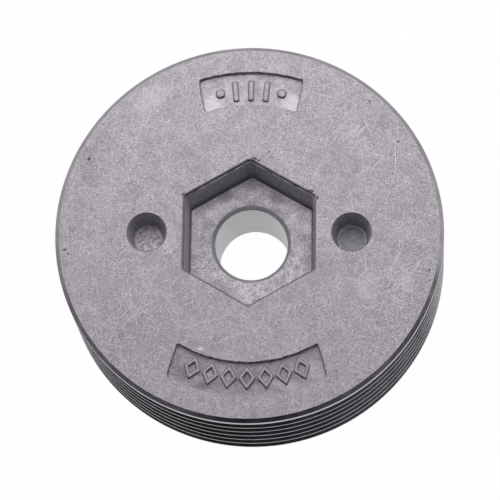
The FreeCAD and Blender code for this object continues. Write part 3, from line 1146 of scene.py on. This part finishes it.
def worn_ledge():
    """A painted highlight on the ledge in the socket, here and there, most of all towards +Y."""
    recipe = Recipe("worn_ledge")
    highlight_patches = recipe.between(recipe.grain(size=2.0), low=0.38, high=0.6)
    far_side = recipe.between(recipe.coordinate("Y"), low=5.0, high=9.0, to_low=0.1)
    colour = recipe.blend(recipe.times(highlight_patches, far_side), PAINTED_SHADE_WALL_DARK, PAINTED_HIGHLIGHT_GREY)
    return recipe.finish(colour, SOFT_METALLIC, DULL_ROUGHNESS)


# %% Put the finishes on the casting
finishes = {
    CAST_FACE: cast_face(),
    TURNED_RIM: turned_metal("turned_rim", ring_width=0.12, roughness=0.19),
    CAST_WALL: cast_wall(),
    SOCKET_FLOOR: socket_floor_skin(),
    TURNED_BORE: turned_metal("turned_bore", 0.35, 0.3, BORE_DULL, BORE_GREY),
    BORE_EDGE: turned_metal("bore_edge", 0.2, 0.55, EDGE_TURNED_DULL, EDGE_TURNED, metallic=0.2),
    RECESS_FLOOR_SKIN: recess_floor_skin(),
    RECESS_WALL: recess_wall_skin(),
    PAINTED_SHADE_EDGE: dark_edge(),
    LEDGE_PAINTED_HIGHLIGHT: worn_ledge(),
    HOLE_FLOOR: hole_floor_skin(),
}
for number in sorted(finishes):
    casting.data.materials.append(finishes[number])
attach(casting, "root")
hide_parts("pulley")
print("finishes:", ", ".join(casting.data.materials.keys()))

# %% [markdown]
# Shading of flats and rounds
#
# Smooth shading bends the light over whole faces, also over the big flats. Weighted normals let the
# largest face at each corner decide, so that only the small rounds bend it. The modifier is applied
# at once, after the finishes, because a mesh without materials forgets which face has which.

# %% Let the flats decide the shading
weighted = casting.modifiers.new("flats_first", "WEIGHTED_NORMAL")
weighted.mode = "FACE_AREA"
weighted.weight = 100
weighted.keep_sharp = True
bpy.context.view_layer.update()
shaded = casting.evaluated_get(bpy.context.evaluated_depsgraph_get())
casting.data = bpy.data.meshes.new_from_object(shaded)
casting.modifiers.clear()
print(f"shaded casting: {len(casting.data.polygons)} faces")

# %% [markdown]
# Floor, lights and world
#
# The photograph has a plain white ground and soft light from the sides and the back. Nothing lights
# the pulley from the camera's side, where metal shows the dark of the room: that is what makes the
# grooves almost black. A real dark card stands there. The camera doesn't see it, but the metal does.
# Its felt is black in the middle and fades to grey towards +X and low down towards -X, where the rim
# of the photographed pulley is paler.

# %% White ground that keeps a soft shadow
GROUND_HALF = 2.0
GROUND_GLOW = 0.985
PAPER_GREY = (0.8, 0.8, 0.8, 1)
WHITE = (1, 1, 1, 1)


def seen_ray(recipe):
    """1 for a ray that comes from the camera, a reflection or a transmission."""
    path = recipe.add("ShaderNodeLightPath").outputs
    reflected = recipe.number("MAXIMUM", path["Is Camera Ray"], path["Is Glossy Ray"])
    return recipe.number("MAXIMUM", reflected, path["Is Transmission Ray"])


ground_corners = [(x * GROUND_HALF, y * GROUND_HALF, 0) for x, y in ((-1, -1), (1, -1), (1, 1), (-1, 1))]
ground_mesh = bpy.data.meshes.new("ground")
ground_mesh.from_pydata(ground_corners, [], [(0, 1, 2, 3)])
ground = linked("ground", ground_mesh)
paper = Recipe("white_paper")
matt = paper.add("ShaderNodeBsdfDiffuse", {"Color": PAPER_GREY}).outputs["BSDF"]
glow = paper.add("ShaderNodeEmission", {"Color": WHITE, "Strength": 1.0}).outputs["Emission"]
glow_share = paper.times(seen_ray(paper), GROUND_GLOW)
mixed = paper.add("ShaderNodeMixShader", {"Fac": glow_share, 1: matt, 2: glow}).outputs["Shader"]
paper.add("ShaderNodeOutputMaterial", {"Surface": mixed})
ground_mesh.materials.append(paper.made)
print(f"ground {2 * GROUND_HALF} m wide")

# %% Dark card on the camera's side
CARD_DISTANCE = 0.5
CARD_LOW = math.radians(14)
CARD_HIGH = math.radians(78)
CARD_TURNS = (math.radians(-192), math.radians(2))
CARD_STEPS = 16
CARD_ROW = CARD_STEPS + 1
FELT_BLACK = (0.040, 0.036, 0.046, 1)
FELT_GREY = (0.38, 0.352, 0.42, 1)
FELT_ROUGHNESS = 0.9
# From black to grey between these two places, in millimetres.
FADE_RIGHT = (0.0, 340.0)
FADE_LEFT = (-60.0, -300.0)
FADE_DOWN = (400.0, 300.0)


def card_point(along_card, up_card):
    """A point of the card, both shares from 0 to 1."""
    turn = CARD_TURNS[0] + (CARD_TURNS[1] - CARD_TURNS[0]) * along_card
    lift = CARD_LOW + (CARD_HIGH - CARD_LOW) * up_card
    level = math.cos(lift)
    return Vector((level * math.cos(turn), level * math.sin(turn), math.sin(lift))) * CARD_DISTANCE


shares = [step / CARD_STEPS for step in range(CARD_ROW)]
card_points = [card_point(along_card, up_card) for up_card in shares for along_card in shares]
card_faces = []
for row in range(CARD_STEPS):
    for column in range(CARD_STEPS):
        corner = row * CARD_ROW + column
        card_faces.append((corner, corner + 1, corner + CARD_ROW + 1, corner + CARD_ROW))
card_mesh = bpy.data.meshes.new("dark_card")
card_mesh.from_pydata(card_points, [], card_faces)
card = linked("dark_card", card_mesh)
felt = Recipe("black_felt")
felt_x = felt.coordinate("X")
grey_low = felt.between(felt.coordinate("Z"), *FADE_DOWN)
grey_left = felt.times(felt.between(felt_x, *FADE_LEFT), grey_low)
grey_share = felt.number("MAXIMUM", felt.between(felt_x, *FADE_RIGHT), grey_left)
felt_colour = felt.blend(grey_share, FELT_BLACK, FELT_GREY)
card_mesh.materials.append(felt.finish(felt_colour, 0.0, FELT_ROUGHNESS))
card.visible_camera = False
card.visible_shadow = False
card.visible_diffuse = False
print(f"card from {math.degrees(CARD_LOW):.0f} to {math.degrees(CARD_HIGH):.0f} degrees up")

# %% Soft lights, each with a name, a place, a size in metres and a power
LIGHTS = (
    ("left_light", (-0.9, 0.1, 0.7), 0.7, 0.95),
    ("right_light", (0.9, 0.2, 0.7), 0.7, 0.72),
    ("top_light", (0.0, 0.14, 0.21), 0.22, 0.33),
)


def soft_light(name, place, size, power):
    """A square light that faces the pulley and that the camera doesn't see."""
    lamp = bpy.data.lights.new(name, "AREA")
    lamp.size = size
    lamp.energy = power
    light = linked(name, lamp)
    light.location = place
    light.rotation_mode = "QUATERNION"
    light.rotation_quaternion = (-Vector(place)).to_track_quat("-Z", "Y")
    light.visible_camera = False


for light in LIGHTS:
    soft_light(*light)
print(f"{len(LIGHTS)} lights")

# %% World: white where it is seen, weaker as a light
WORLD_FILL = 0.45
WORLD_SEEN = 1.0

studio = Recipe("studio", bpy.data.worlds)
levels = {"Value": seen_ray(studio), "To Min": WORLD_FILL, "To Max": WORLD_SEEN}
strength = studio.add("ShaderNodeMapRange", levels).outputs["Result"]
background = studio.add("ShaderNodeBackground", {"Color": WHITE, "Strength": strength})
studio.add("ShaderNodeOutputWorld", {"Surface": background.outputs["Background"]})
bpy.context.scene.world = studio.made
bpy.context.scene.view_settings.view_transform = "Standard"
print(f"world fill {WORLD_FILL}")
